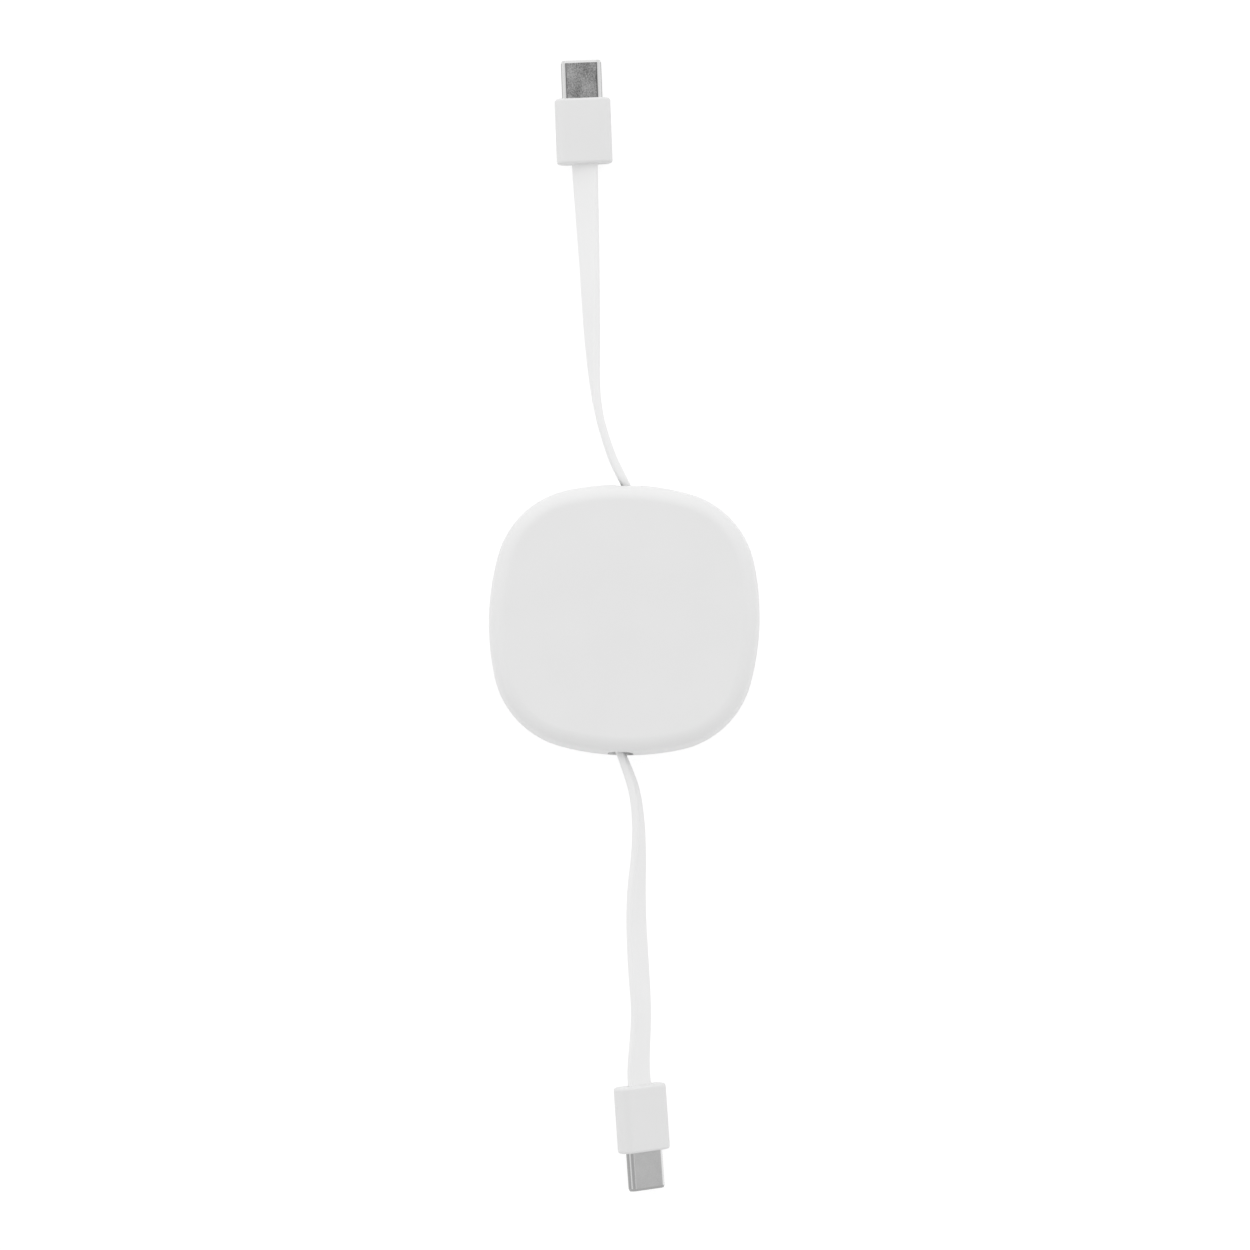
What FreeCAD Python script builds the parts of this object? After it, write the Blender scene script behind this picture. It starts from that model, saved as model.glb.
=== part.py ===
import FreeCAD, Part
import math
import os

import Sketcher

# Retractable two-way USB-C cable: a spring reel in a moulded case, two flat ribbon leads and two plugs.
# Millimetres and degrees. The origin is the middle of the case's underside, +Z up, +Y towards plug A.

# Driving sizes, kept in the spreadsheet under these names
SIZES = {
    # Case outline: eight tangent arcs, four long sides and four corners
    "case_half": 27.5,
    "side_radius": 52.3,
    "corner_radius": 18.5,
    # Case mouldings
    "wall": 1.7,
    "floor_thick": 2.0,
    "roof_thick": 2.6,
    "cover_draft": 7.0,
    "base_draft": 1.0,
    "top_edge_radius": 3.0,
    "base_edge_radius": 2.4,
    "lip_height": 0.8,
    "lip_width": 0.8,
    "lip_gap": 0.05,
    "mouth_width": 5.2,
    "mouth_above": 4.2,
    "mouth_below": 3.6,
    # Axle, reel and spring
    "axle_radius": 2.4,
    "axle_tip_radius": 1.5,
    "axle_tip_length": 1.2,
    "bore_gap": 0.05,
    "running_gap": 0.3,
    "hub_radius": 9.5,
    "hub_wall": 1.2,
    "flange_gap": 1.4,
    "flange_thick": 0.8,
    "plate_thick": 1.6,
    "spring_thick": 0.3,
    "spring_height": 5.0,
    "spring_turns": 2,
    "spring_gap": 0.2,
    # Ratchet: a ball in a radial slot of the cover and a track in the reel's upper face
    "ball_diameter": 2.0,
    "ball_gap": 0.05,
    "slot_gap": 0.1,
    "track_depth": 1.0,
    "track_margin": 7.4,
    "track_travel": 4.5,
    "island_count": 6,
    # Flat ribbon
    "ribbon_width": 5.2,
    "ribbon_thick": 1.5,
    "ribbon_play": 0.2,
    "winding_margin": 2.1,
    "winding_gap": 0.1,
    "lead_in": 4.0,
    # Plug grip and shell
    "grip_length": 13.4,
    "grip_width": 11.4,
    "grip_thick": 5.0,
    "grip_side_radius": 2.2,
    "grip_edge": 0.5,
    "grip_front_wall": 1.0,
    "shell_width": 8.25,
    "shell_thick": 2.4,
    "shell_wall": 0.25,
    "shell_reach": 7.8,
    "shell_root": 6.0,
    "shell_edge": 0.2,
    "mould_gap": 0.03,
    # Plug insides
    "core_width": 9.4,
    "core_thick": 3.8,
    "core_radius": 1.6,
    "core_rear": 1.4,
    "tongue_thick": 1.0,
    "tongue_depth": 6.3,
    "insulator_width": 7.6,
    "insulator_thick": 1.6,
    "insulator_length": 9.6,
    "insulator_setback": 0.4,
    "contact_pitch": 0.5,
    "contact_width": 0.24,
    "contact_thick": 0.12,
    "contact_tail": 1.4,
    "contact_gap": 0.02,
    "latch_thick": 0.4,
    "latch_width": 0.25,
    "latch_hook": 0.35,
    "latch_length": 5.4,
    "spring_plate_width": 5.2,
    "spring_plate_length": 3.2,
    "spring_plate_thick": 0.1,
    "board_width": 7.0,
    "board_thick": 1.0,
    "board_length": 6.2,
    # Where the plugs lie: middle of the grip's rear face, heading, dip of the tip, and roll
    "plug_a_x": -10.67,
    "plug_a_y": 93.05,
    "plug_a_heading": 3.8,
    "plug_a_dip": 0.0,
    "plug_a_roll": 0.0,
    "plug_b_x": 5.73,
    "plug_b_y": -94.29,
    "plug_b_heading": 185.6,
    "plug_b_dip": 5.0,
    "plug_b_roll": -32.0,
    "rest_gap": 0.05,
}

# Contact places that a charging lead fits, counted along each row of twelve
PLACES_IN_ROW = 12
UPPER_CONTACTS = (0, 3, 4, 5, 6, 8, 11)
LOWER_CONTACTS = (0, 3, 7, 8, 11)

# Route of each lead from the winding through its mouth: x, y, height against the seam, and roll of the
# ribbon, where 90 degrees stands on its edge and 0 lies flat. The plug gives the last two points.
LEAD_A_ROUTE = (
    (11.0, 20.3, 0.0, 90.0),
    (6.2, 22.9, 0.0, 90.0),
    (0.75, 25.2, 0.0, 90.0),
    (-1.45, 29.2, 0.0, 86.0),
    (-3.85, 33.8, -0.3, 88.0),
    (-6.92, 43.2, -0.9, 89.0),
    (-8.15, 56.5, -1.9, 66.0),
    (-9.1, 72.2, -2.9, 49.0),
)
LEAD_B_ROUTE = (
    (-11.0, -20.3, 0.0, 90.0),
    (-6.2, -22.9, 0.0, 90.0),
    (-0.8, -25.2, 0.0, 90.0),
    (1.16, -29.6, 0.0, 80.0),
    (3.4, -35.4, 0.0, 78.0),
    (4.42, -45.0, 0.0, 72.0),
    (3.84, -57.5, 0.0, 52.0),
    (4.88, -71.0, 0.0, 44.0),
    (5.8, -80.0, 0.0, 52.0),
)

# Each arc of a lead takes this share of the shorter of its two runs
ARC_SHARE = 0.45

# An arc of a lead that turns by more than this, in radians, has a section at its middle too
SHARP_BEND = 0.2

# Corners of one ratchet island, as degrees round the reel, on its outer and on its inner side
ISLAND_OUTSIDE = (6.0, 27.0, 48.0)
ISLAND_INSIDE = (54.0, 32.0, 10.0)
ISLAND_BULGE = 1.02

# Flat steps that round the case's upper and lower edges
TOP_EDGE_STEPS = 3
BASE_EDGE_STEPS = 2

doc = FreeCAD.newDocument("retractable_cable")


class Size:
    """A size with its value and the expression that ties it to the sheet."""

    def __init__(self, value, text):
        self.value = value
        self.text = text

    def __add__(self, other):
        other = size_of(other)
        return Size(self.value + other.value, f"({self.text} + {other.text})")

    def __sub__(self, other):
        other = size_of(other)
        return Size(self.value - other.value, f"({self.text} - {other.text})")

    def __mul__(self, other):
        other = size_of(other)
        return Size(self.value * other.value, f"({self.text} * {other.text})")

    def __truediv__(self, number):
        return Size(self.value / number, f"({self.text} / {number})")

    def __neg__(self):
        return Size(-self.value, f"(-{self.text})")


def size_of(item):
    """A plain number as a Size, so that both can be added."""
    if isinstance(item, Size):
        return item
    return Size(item, f"{item}")


def sine(angle):
    """Sine of an angle in degrees."""
    return Size(math.sin(math.radians(angle.value)), f"sin({angle.text} * 1 deg)")


def cosine(angle):
    """Cosine of an angle in degrees."""
    return Size(math.cos(math.radians(angle.value)), f"cos({angle.text} * 1 deg)")


def tangent(angle):
    """Tangent of an angle in degrees."""
    return Size(math.tan(math.radians(angle.value)), f"tan({angle.text} * 1 deg)")


def make_sheet():
    """Write the driving sizes to the sheet and return them as Size values by name."""
    sheet = doc.addObject("Spreadsheet::Sheet", "sizes")
    found = {}
    for row, (name, value) in enumerate(SIZES.items(), start=1):
        sheet.set(f"A{row}", name)
        sheet.set(f"B{row}", f"{value}")
        sheet.setAlias(f"B{row}", name)
        found[name] = Size(value, f"sizes.{name}")
    doc.recompute()
    return found


S = make_sheet()
ZERO = Size(0.0, "0")

# Heights of the stack, from the floor of the case up
REEL_LOW = S["floor_thick"] + S["running_gap"]
WINDING_LOW = REEL_LOW + S["flange_thick"]
SEAM = WINDING_LOW + S["ribbon_width"] / 2 + S["ribbon_play"]
PLATE_LOW = WINDING_LOW + S["ribbon_width"] + S["ribbon_play"] * 2
REEL_TOP = PLATE_LOW + S["plate_thick"]
ROOF_LOW = REEL_TOP + S["running_gap"]
CASE_TOP = ROOF_LOW + S["roof_thick"]
BALL_MIDDLE = REEL_TOP - S["track_depth"] + S["ball_gap"] + S["ball_diameter"] / 2
FLANGE_RADIUS = S["case_half"] - S["wall"] - S["flange_gap"]
WINDING_RADIUS = FLANGE_RADIUS - S["winding_margin"]
TRACK_OUTER = FLANGE_RADIUS - S["track_margin"]
TRACK_INNER = TRACK_OUTER - S["track_travel"]
SLOT_WIDTH = S["ball_diameter"] + S["slot_gap"] * 2

# Stations along a plug, from the grip's rear face towards its tip
SHELL_LOW = S["grip_length"] - S["shell_root"]
SHELL_TIP = S["grip_length"] + S["shell_reach"]
INSULATOR_TIP = SHELL_TIP - S["insulator_setback"]
INSULATOR_LOW = INSULATOR_TIP - S["insulator_length"]
TONGUE_LOW = INSULATOR_TIP - S["tongue_depth"]
CORE_TIP = S["grip_length"] - S["grip_front_wall"]
BOARD_LOW = INSULATOR_LOW - S["contact_gap"] - S["board_length"]


def bind(item, name, size):
    """Give a property its value and tie it to the sheet."""
    setattr(item, name, size.value)
    item.setExpression(name, size.text)


def new_body(label):
    """An empty body with its own label."""
    body = doc.addObject("PartDesign::Body", label)
    body.Label = label
    return body


class Drawing:
    """A sketch on one of its body's own planes, with every size tied to the sheet."""

    def __init__(self, body, name, plane="XY_Plane", level=None):
        self.sketch = body.newObject("Sketcher::SketchObject", name)
        support = next(f for f in body.Origin.OriginFeatures if f.Role == plane)
        self.sketch.AttachmentSupport = (support, [""])
        self.sketch.MapMode = "FlatFace"
        if level is not None:
            base = FreeCAD.Vector(0, 0, level.value)
            self.sketch.AttachmentOffset = FreeCAD.Placement(base, FreeCAD.Rotation())
            self.sketch.setExpression("AttachmentOffset.Base.z", level.text)

    def tie(self, kind, *where):
        """Add a constraint that has no size."""
        self.sketch.addConstraint(Sketcher.Constraint(kind, *where))

    def fix(self, kind, size, *where):
        """Add a constraint whose size comes from the sheet."""
        index = self.sketch.addConstraint(Sketcher.Constraint(kind, *where, size.value))
        self.sketch.setExpression(f"Constraints[{index}]", size.text)

    def place(self, item, point, x, y):
        """Hold a point of an item at x, y from the origin."""
        for kind, size in (("DistanceX", x), ("DistanceY", y)):
            if size.value < 0:
                self.fix(kind, -size, item, point, -1, 1)
            else:
                self.fix(kind, size, -1, 1, item, point)

    def circle(self, radius, x=ZERO):
        """A circle on the sketch's X axis."""
        centre = FreeCAD.Vector(x.value, 0, 0)
        up = FreeCAD.Vector(0, 0, 1)
        item = self.sketch.addGeometry(Part.Circle(centre, up, radius.value))
        self.fix("Radius", radius, item)
        if x is ZERO:
            self.tie("Coincident", item, 3, -1, 1)
        else:
            self.place(item, 3, x, ZERO)

    def polygon(self, points):
        """A closed outline of straight lines through the points."""
        ends = [FreeCAD.Vector(x.value, y.value, 0) for x, y in points]
        lines = []
        for start, end in zip(ends, ends[1:] + ends[:1]):
            lines.append(self.sketch.addGeometry(Part.LineSegment(start, end)))
        for line, following in zip(lines, lines[1:] + lines[:1]):
            self.tie("Coincident", line, 2, following, 1)
        for line, (x, y) in zip(lines, points):
            self.place(line, 1, x, y)

    def chain(self, arcs):
        """Join arcs end to end, each tangent to the next, with a line where their ends lie apart."""
        items = []
        for centre, radius, start, end in arcs:
            middle = FreeCAD.Vector(centre[0].value, centre[1].value, 0)
            circle = Part.Circle(middle, FreeCAD.Vector(0, 0, 1), radius.value)
            item = self.sketch.addGeometry(Part.ArcOfCircle(circle, start, end))
            items.append(item)
        for item, following in zip(items, items[1:] + items[:1]):
            first = self.sketch.getPoint(item, 2)
            second = self.sketch.getPoint(following, 1)
            if first.distanceToPoint(second) < 1e-6:
                self.tie("Tangent", item, 2, following, 1)
            else:
                line = self.sketch.addGeometry(Part.LineSegment(first, second))
                self.tie("Tangent", item, 2, line, 1)
                self.tie("Tangent", line, 2, following, 1)
        return items

    def rounded_box(self, width, height, radius):
        """A rectangle about the origin with round corners."""
        across = width / 2 - radius
        along = height / 2 - radius
        centres = ((across, along), (-across, along), (-across, -along), (across, -along))
        arcs = []
        for quarter, centre in enumerate(centres):
            start = quarter * math.pi / 2
            arcs.append((centre, radius, start, start + math.pi / 2))
        for item, centre in zip(self.chain(arcs), centres):
            self.place(item, 3, *centre)
            self.fix("Radius", radius, item)

    def stadium(self, width, height):
        """A level slot shape about the origin, with full round ends."""
        reach = (width - height) / 2
        quarter = math.pi / 2
        arcs = (
            ((reach, ZERO), height / 2, -quarter, quarter),
            ((-reach, ZERO), height / 2, quarter, 3 * quarter),
        )
        for item, (centre, radius, _, _) in zip(self.chain(arcs), arcs):
            self.place(item, 3, *centre)
            self.fix("Radius", radius, item)

    def upright_slot(self, width, low, high):
        """An upright slot shape on the sketch's Y axis, from low to high, with full round ends."""
        radius = width / 2
        arcs = (
            ((ZERO, high - radius), radius, 0, math.pi),
            ((ZERO, low + radius), radius, math.pi, 2 * math.pi),
        )
        for item, (centre, _, _, _) in zip(self.chain(arcs), arcs):
            self.place(item, 3, *centre)
            self.fix("Radius", radius, item)

    def case_outline(self, inset):
        """The case's outline, drawn in by an inset: four side arcs and four corner arcs."""
        side_offset = S["side_radius"] - S["case_half"]
        gap = S["side_radius"].value - S["corner_radius"].value
        shift = side_offset.value
        corner = (math.sqrt(2 * gap**2 - shift**2) - shift) / 2
        sweep = math.atan2(corner, corner + shift)
        side = S["side_radius"] - inset
        bend = S["corner_radius"] - inset
        arcs = []
        for quarter in range(4):
            turn = quarter * math.pi / 2
            cosine = round(math.cos(turn))
            sine = round(math.sin(turn))
            side_centre = (size_of(-shift * cosine), size_of(-shift * sine))
            corner_centre = (size_of(corner * (cosine - sine)), size_of(corner * (cosine + sine)))
            arcs.append((side_centre, side, turn - sweep, turn + sweep))
            arcs.append((corner_centre, bend, turn + sweep, turn + math.pi / 2 - sweep))
        places = ((-side_offset, ZERO), (ZERO, -side_offset), (side_offset, ZERO), (ZERO, side_offset))
        items = self.chain(arcs)
        for item, place in zip(items[0::2], places):
            self.place(item, 3, *place)
            self.fix("Radius", side, item)
        for item in items[1::2]:
            self.fix("Radius", bend, item)


def pad(body, drawing, length, downwards=False, taper=None):
    """Raise a drawing by a length, drawn in by a taper."""
    feature = body.newObject("PartDesign::Pad", drawing.sketch.Name + "_pad")
    feature.Profile = drawing.sketch
    bind(feature, "Length", length)
    feature.Reversed = downwards
    if taper is not None:
        bind(feature, "TaperAngle", -taper)
    doc.recompute()
    return feature


def pocket(body, drawing, length=None, upwards=False, taper=None):
    """Cut a drawing by a length, or right through both ways where none is given."""
    before = body.Shape.Volume
    feature = body.newObject("PartDesign::Pocket", drawing.sketch.Name + "_cut")
    feature.Profile = drawing.sketch
    feature.Reversed = upwards
    if length is None:
        feature.Type = "ThroughAll"
        feature.SideType = "Symmetric"
    else:
        bind(feature, "Length", length)
    if taper is not None:
        bind(feature, "TaperAngle", -taper)
    doc.recompute()
    if body.Shape.Volume > before - 1e-6:
        raise RuntimeError(f"{feature.Name} cuts nothing")
    return feature


def turned(body, drawing):
    """Turn a drawing on the XZ plane once round the body's Z axis."""
    feature = body.newObject("PartDesign::Revolution", drawing.sketch.Name + "_turned")
    feature.Profile = drawing.sketch
    feature.ReferenceAxis = (drawing.sketch, ["V_Axis"])
    feature.Angle = 360
    doc.recompute()
    return feature


def edges_at(shape, height):
    """Names of the edges that lie level at a height."""
    names = []
    for number, edge in enumerate(shape.Edges, start=1):
        box = edge.BoundBox
        if abs(box.ZMin - height) < 1e-4 and abs(box.ZMax - height) < 1e-4:
            names.append(f"Edge{number}")
    return names


def chamfer(body, base, names, size):
    """Break edges of a feature."""
    feature = body.newObject("PartDesign::Chamfer", base.Name + "_broken")
    feature.Base = (base, names)
    bind(feature, "Size", size)
    doc.recompute()
    return feature


def case_block(body, rise, radius, draft, steps, downwards):
    """A block on the case's outline, drafted away from the seam and rounded at its far edge in steps."""
    centre_rise = rise - radius
    centre_inset = centre_rise * tangent(draft) + radius * (tangent(draft) * sine(draft) + cosine(draft))
    stations = [(ZERO, ZERO, draft)]
    for step in range(steps):
        angle = draft + (size_of(90) - draft) * (step / steps)
        slope = draft + (size_of(90) - draft) * ((step + 0.5) / steps)
        inset = centre_inset - radius * cosine(angle)
        stations.append((inset, centre_rise + radius * sine(angle), slope))
    tops = [height for _, height, _ in stations[1:]] + [rise]
    for number, ((inset, height, slope), top) in enumerate(zip(stations, tops)):
        level = SEAM - height if downwards else SEAM + height
        outline = Drawing(body, f"{body.Name}_outline_{number}", level=level)
        outline.case_outline(inset)
        pad(body, outline, top - height, downwards=downwards, taper=slope)


def hollow_case(body, depth, upwards):
    """The room for the reel, cut from the seam with an even wall round it."""
    inside = Drawing(body, body.Name + "_cavity", level=SEAM)
    inside.case_outline(S["wall"])
    pocket(body, inside, depth, upwards=upwards)


def cut_mouths(body):
    """The two lead mouths, one slot right through the front and back walls."""
    mouths = Drawing(body, body.Name + "_mouths", plane="XZ_Plane")
    mouths.upright_slot(S["mouth_width"], SEAM - S["mouth_below"], SEAM + S["mouth_above"])
    pocket(body, mouths)


def make_top_cover():
    """Upper half of the case, with the rebate for the lip, the ball's slot and the axle's socket."""
    body = new_body("top_cover")
    radius = S["top_edge_radius"]
    case_block(body, CASE_TOP - SEAM, radius, S["cover_draft"], TOP_EDGE_STEPS, downwards=False)
    hollow_case(body, ROOF_LOW - SEAM, upwards=True)
    rebate = Drawing(body, "cover_rebate", level=SEAM)
    rebate.case_outline(S["wall"] - S["lip_width"] - S["lip_gap"])
    pocket(body, rebate, S["lip_height"] + S["lip_gap"], upwards=True)
    cut_mouths(body)
    slot = Drawing(body, "cover_ball_slot", level=ROOF_LOW)
    reach = SLOT_WIDTH / 2
    slot.polygon(
        (
            (TRACK_INNER - reach, -reach),
            (TRACK_OUTER + reach, -reach),
            (TRACK_OUTER + reach, reach),
            (TRACK_INNER - reach, reach),
        )
    )
    slot_top = BALL_MIDDLE + S["ball_diameter"] / 2 + S["ball_gap"]
    pocket(body, slot, slot_top - ROOF_LOW, upwards=True)
    socket = Drawing(body, "cover_socket", level=ROOF_LOW)
    socket.circle(S["axle_tip_radius"] + S["bore_gap"])
    pocket(body, socket, S["axle_tip_length"] + S["bore_gap"], upwards=True)
    return body


def make_base_shell():
    """Lower half of the case, with the lip, the axle and its slot for the spring's end."""
    body = new_body("base_shell")
    radius = S["base_edge_radius"]
    case_block(body, SEAM, radius, S["base_draft"], BASE_EDGE_STEPS, downwards=True)
    hollow_case(body, SEAM - S["floor_thick"], upwards=False)
    lip = Drawing(body, "base_lip", level=SEAM)
    lip.case_outline(S["wall"] - S["lip_width"])
    lip.case_outline(S["wall"])
    pad(body, lip, S["lip_height"])
    cut_mouths(body)
    axle = Drawing(body, "base_axle", level=S["floor_thick"])
    axle.circle(S["axle_radius"])
    pad(body, axle, ROOF_LOW - S["bore_gap"] - S["floor_thick"])
    tip = Drawing(body, "base_axle_tip", level=ROOF_LOW - S["bore_gap"])
    tip.circle(S["axle_tip_radius"])
    pad(body, tip, S["axle_tip_length"])
    slot = Drawing(body, "base_spring_slot", level=S["floor_thick"])
    half_slot = S["spring_thick"] / 2 + S["spring_gap"]
    middle = -S["spring_thick"] / 2
    slot.polygon(
        (
            (S["axle_radius"] / 2, middle - half_slot),
            (S["axle_radius"] * 2, middle - half_slot),
            (S["axle_radius"] * 2, middle + half_slot),
            (S["axle_radius"] / 2, middle + half_slot),
        )
    )
    pocket(body, slot, PLATE_LOW - S["floor_thick"], upwards=True)
    return body


def make_reel():
    """Spool: hub cup open below, two flanges, and the ratchet track in the upper face."""
    body = new_body("reel")
    bore = S["axle_radius"] + S["bore_gap"]
    cup = S["hub_radius"] - S["hub_wall"]
    profile = Drawing(body, "reel_profile", plane="XZ_Plane")
    profile.polygon(
        (
            (bore, PLATE_LOW),
            (cup, PLATE_LOW),
            (cup, REEL_LOW),
            (FLANGE_RADIUS, REEL_LOW),
            (FLANGE_RADIUS, WINDING_LOW),
            (S["hub_radius"], WINDING_LOW),
            (S["hub_radius"], PLATE_LOW),
            (FLANGE_RADIUS, PLATE_LOW),
            (FLANGE_RADIUS, REEL_TOP),
            (bore, REEL_TOP),
        )
    )
    turned(body, profile)
    reach = SLOT_WIDTH / 2
    track = Drawing(body, "reel_track", level=REEL_TOP)
    track.circle(TRACK_OUTER + reach)
    track.circle(TRACK_INNER - reach)
    pocket(body, track, S["track_depth"])
    outside = TRACK_OUTER - reach
    inside = (TRACK_INNER + reach) * ISLAND_BULGE
    corners = [(outside, math.radians(turn)) for turn in ISLAND_OUTSIDE]
    corners += [(inside, math.radians(turn)) for turn in ISLAND_INSIDE]
    island = Drawing(body, "reel_island", level=REEL_TOP - S["track_depth"])
    island.polygon([(radius * math.cos(turn), radius * math.sin(turn)) for radius, turn in corners])
    block = pad(body, island, S["track_depth"])
    pattern = body.newObject("PartDesign::PolarPattern", "reel_island_pattern")
    pattern.Originals = [block]
    pattern.Axis = (island.sketch, ["N_Axis"])
    pattern.Angle = 360
    bind(pattern, "Occurrences", Size(int(S["island_count"].value), S["island_count"].text))
    body.Tip = pattern
    doc.recompute()
    return body


def make_power_spring():
    """Spiral strip of half circles about two centres, with a tab in the axle's slot."""
    item = doc.addObject("Part::Feature", "power_spring")
    item.Label = "power_spring"
    thick = S["spring_thick"].value
    start = S["axle_radius"].value + 2 * S["spring_gap"].value + thick
    room = S["hub_radius"].value - S["hub_wall"].value - S["spring_gap"].value
    turns = int(S["spring_turns"].value)
    pitch = (room - thick - start) / turns
    inner = []
    outer = []
    for half_turn in range(2 * turns):
        centre = FreeCAD.Vector(pitch / 2 * (half_turn % 2), 0, 0)
        radius = start + pitch / 2 * half_turn
        side = 1 - 2 * (half_turn % 2)
        for edges, distance in ((inner, radius), (outer, radius + thick)):
            first = centre + FreeCAD.Vector(side * distance, 0, 0)
            middle = centre + FreeCAD.Vector(0, side * distance, 0)
            last = centre - FreeCAD.Vector(side * distance, 0, 0)
            edges.append(Part.Arc(first, middle, last).toShape())
    tab = S["axle_radius"].value / 2 + S["spring_gap"].value
    end = start + pitch * turns
    corners = [(start + thick, 0), (start + thick, -thick), (tab, -thick), (tab, 0), (start, 0)]
    ends = [FreeCAD.Vector(x, y, 0) for x, y in corners]
    tab_lines = [Part.LineSegment(a, b).toShape() for a, b in zip(ends, ends[1:])]
    cap = Part.LineSegment(FreeCAD.Vector(end, 0, 0), FreeCAD.Vector(end + thick, 0, 0)).toShape()
    wire = Part.Wire(Part.__sortEdges__(inner + [cap] + outer + tab_lines))
    strip = Part.Face(wire).extrude(FreeCAD.Vector(0, 0, S["spring_height"].value))
    item.Shape = strip
    room_above = PLATE_LOW.value - REEL_LOW.value - S["spring_height"].value
    item.Placement.Base = FreeCAD.Vector(0, 0, REEL_LOW.value + room_above / 2)
    return item


def make_cable_winding():
    """The wound length of ribbon, as one ring on the hub."""
    body = new_body("cable_winding")
    inner = S["hub_radius"] + S["winding_gap"]
    low = WINDING_LOW + S["ribbon_play"]
    high = low + S["ribbon_width"]
    ring = Drawing(body, "winding_profile", plane="XZ_Plane")
    ring.polygon(
        (
            (inner, low),
            (WINDING_RADIUS, low),
            (WINDING_RADIUS, high),
            (inner, high),
        )
    )
    turned(body, ring)
    return body


def make_ratchet_ball():
    """Steel ball in the outer run of the track."""
    ball = doc.addObject("Part::Sphere", "ratchet_ball")
    ball.Label = "ratchet_ball"
    bind(ball, "Radius", S["ball_diameter"] / 2)
    ball.Placement.Base = FreeCAD.Vector(TRACK_OUTER.value, 0, BALL_MIDDLE.value)
    ball.setExpression("Placement.Base.x", TRACK_OUTER.text)
    ball.setExpression("Placement.Base.z", BALL_MIDDLE.text)
    return ball


def plug_placement(plug):
    """Place of a plug on the table: heading about Z, dip of its tip, and roll about its own length."""
    upright = FreeCAD.Rotation(
        FreeCAD.Vector(-1, 0, 0), FreeCAD.Vector(0, 0, 1), FreeCAD.Vector(0, 1, 0), "ZXY"
    )
    roll = FreeCAD.Rotation(FreeCAD.Vector(0, 1, 0), S[f"plug_{plug}_roll"].value)
    dip = FreeCAD.Rotation(FreeCAD.Vector(-1, 0, 0), S[f"plug_{plug}_dip"].value)
    heading = FreeCAD.Rotation(FreeCAD.Vector(0, 0, 1), S[f"plug_{plug}_heading"].value)
    turn = heading * dip * roll * upright
    down = turn.inverted().multVec(FreeCAD.Vector(0, 0, -1))
    side = S["grip_side_radius"].value
    across = abs(down.x) * (S["grip_width"].value / 2 - side)
    through = abs(down.y) * (S["grip_thick"].value / 2 - side)
    along = down.z * (S["grip_length"].value - S["grip_edge"].value)
    height = across + through + along + side * math.hypot(down.x, down.y) + S["rest_gap"].value
    place = FreeCAD.Vector(S[f"plug_{plug}_x"].value, S[f"plug_{plug}_y"].value, height)
    return FreeCAD.Placement(place, turn)


def rounded_path(points):
    """Straight runs joined by tangent arcs, and the length along them at each point."""
    edges = []
    radii = []
    marks = [0.0]
    start = points[0]
    travelled = 0.0
    for before, corner, after in zip(points, points[1:], points[2:]):
        into = (corner - before).normalize()
        away = (after - corner).normalize()
        half_turn = into.getAngle(away) / 2
        cut = ARC_SHARE * min(corner.distanceToPoint(before), corner.distanceToPoint(after))
        radius = cut / math.tan(half_turn)
        inwards = (away - into).normalize()
        middle = corner + inwards * (radius / math.cos(half_turn) - radius)
        first = corner - into * cut
        last = corner + away * cut
        run = Part.LineSegment(start, first).toShape()
        arc = Part.Arc(first, middle, last).toShape()
        edges += [run, arc]
        radii.append(radius)
        marks.append(travelled + run.Length + arc.Length / 2)
        travelled += run.Length + arc.Length
        start = last
    edges.append(Part.LineSegment(start, points[-1]).toShape())
    marks.append(travelled + edges[-1].Length)
    return Part.Wire(edges), radii, marks


def between(value, marks, levels):
    """The level at a value, on straight lines between marks."""
    for low, high, first, second in zip(marks, marks[1:], levels, levels[1:]):
        if value <= high:
            return first + (second - first) * (value - low) / (high - low)
    return levels[-1]


def ribbon_section(place, along, roll):
    """The ribbon's flat section across its path, rolled from lying flat."""
    level = along.cross(FreeCAD.Vector(0, 0, 1)).normalize()
    upright = level.cross(along)
    angle = math.radians(roll)
    across = (level * math.cos(angle) + upright * math.sin(angle)) * (S["ribbon_width"].value / 2)
    through = (upright * math.cos(angle) - level * math.sin(angle)) * (S["ribbon_thick"].value / 2)
    corners = [place + across + through, place - across + through]
    corners += [place - across - through, place + across - through]
    return Part.makePolygon(corners + corners[:1])


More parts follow.
